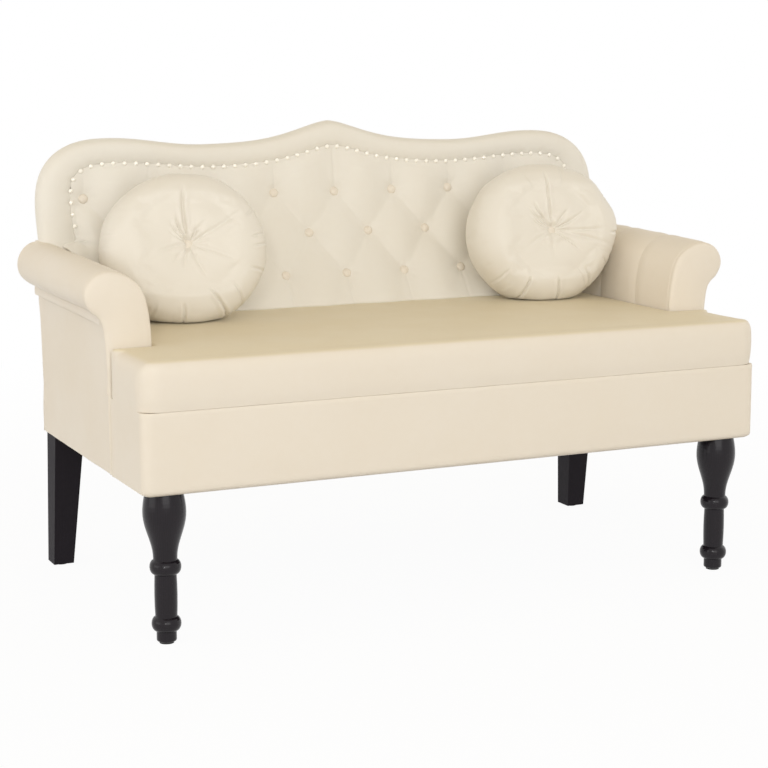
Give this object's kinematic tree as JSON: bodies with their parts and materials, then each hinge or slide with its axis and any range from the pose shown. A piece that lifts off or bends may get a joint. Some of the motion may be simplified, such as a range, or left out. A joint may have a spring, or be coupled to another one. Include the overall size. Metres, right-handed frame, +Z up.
{
  "type": "chesterfield bench",
  "caption": "Small padded bench with rolled arms, a serpentine button-tufted back edged with nail heads, turned front legs and two loose round pillows.",
  "frame": {"origin": "on the floor, at the middle of the whole object's bounding box", "axes": "+Z up, front of the bench towards -Y, its length along X"},
  "size_m": [1.1476, 0.5951, 0.75],
  "materials": {
    "cover_leather": "cream faux leather, smooth with a soft sheen",
    "pillow_leather": "cream faux leather, gathered, with a soft sheen",
    "button_leather": "cream faux leather stretched over buttons",
    "nail_heads": "pale pearl gold, polished",
    "dark_legs": "black-brown stain under satin lacquer",
    "frame_timber": "sawn and planed, unfinished",
    "webbing": "woven straps",
    "dust_cloth": "thin black non-woven cloth",
    "bolt_steel": "zinc plated",
    "insert_brass": "plain turned brass",
    "glide_plastic": "dark moulded plastic"
  },
  "bodies": {
    "bench": {"front_rail": "frame_timber", "rear_rail": "frame_timber", "side_rail_left": "frame_timber", "side_rail_right": "frame_timber", "centre_stretcher": "frame_timber", "corner_blocks": "frame_timber", "seat_webbing": "webbing", "dust_cover": "dust_cloth", "front_apron": "cover_leather", "apron_corner_left": "cover_leather", "apron_corner_right": "cover_leather", "side_panel_left": "cover_leather", "side_panel_right": "cover_leather", "back_rear_panel": "cover_leather", "arm_pad_left": "cover_leather", "arm_pad_right": "cover_leather", "arm_frame_left": "frame_timber", "arm_frame_right": "frame_timber", "arm_dowels": "frame_timber", "arm_front_panel_left": "cover_leather", "arm_front_panel_right": "cover_leather", "seat_pad": "cover_leather", "tufted_pad": "cover_leather", "back_buttons": "button_leather", "back_border": "cover_leather", "nail_trim": "nail_heads", "back_post_left": "frame_timber", "back_post_right": "frame_timber", "back_top_rail": "frame_timber", "back_low_rail": "frame_timber", "back_webbing": "webbing", "back_bolts": "bolt_steel", "front_leg_left": "dark_legs", "front_leg_right": "dark_legs", "rear_leg_left": "dark_legs", "rear_leg_right": "dark_legs", "leg_bolts": "bolt_steel", "leg_inserts": "insert_brass", "leg_glides": "glide_plastic"},
    "pillow_left": {"pillow_left": "pillow_leather", "pillow_buttons_left": "button_leather"},
    "pillow_right": {"pillow_right": "pillow_leather", "pillow_buttons_right": "button_leather"}
  },
  "joints": [
    {"name": "pillow_left_lift", "type": "slide", "parent": "bench", "child": "pillow_left", "axis": [0, 0, 1], "range_m": [0, 0.35]},
    {"name": "pillow_right_lift", "type": "slide", "parent": "bench", "child": "pillow_right", "axis": [0, 0, 1], "range_m": [0, 0.35]}
  ]
}
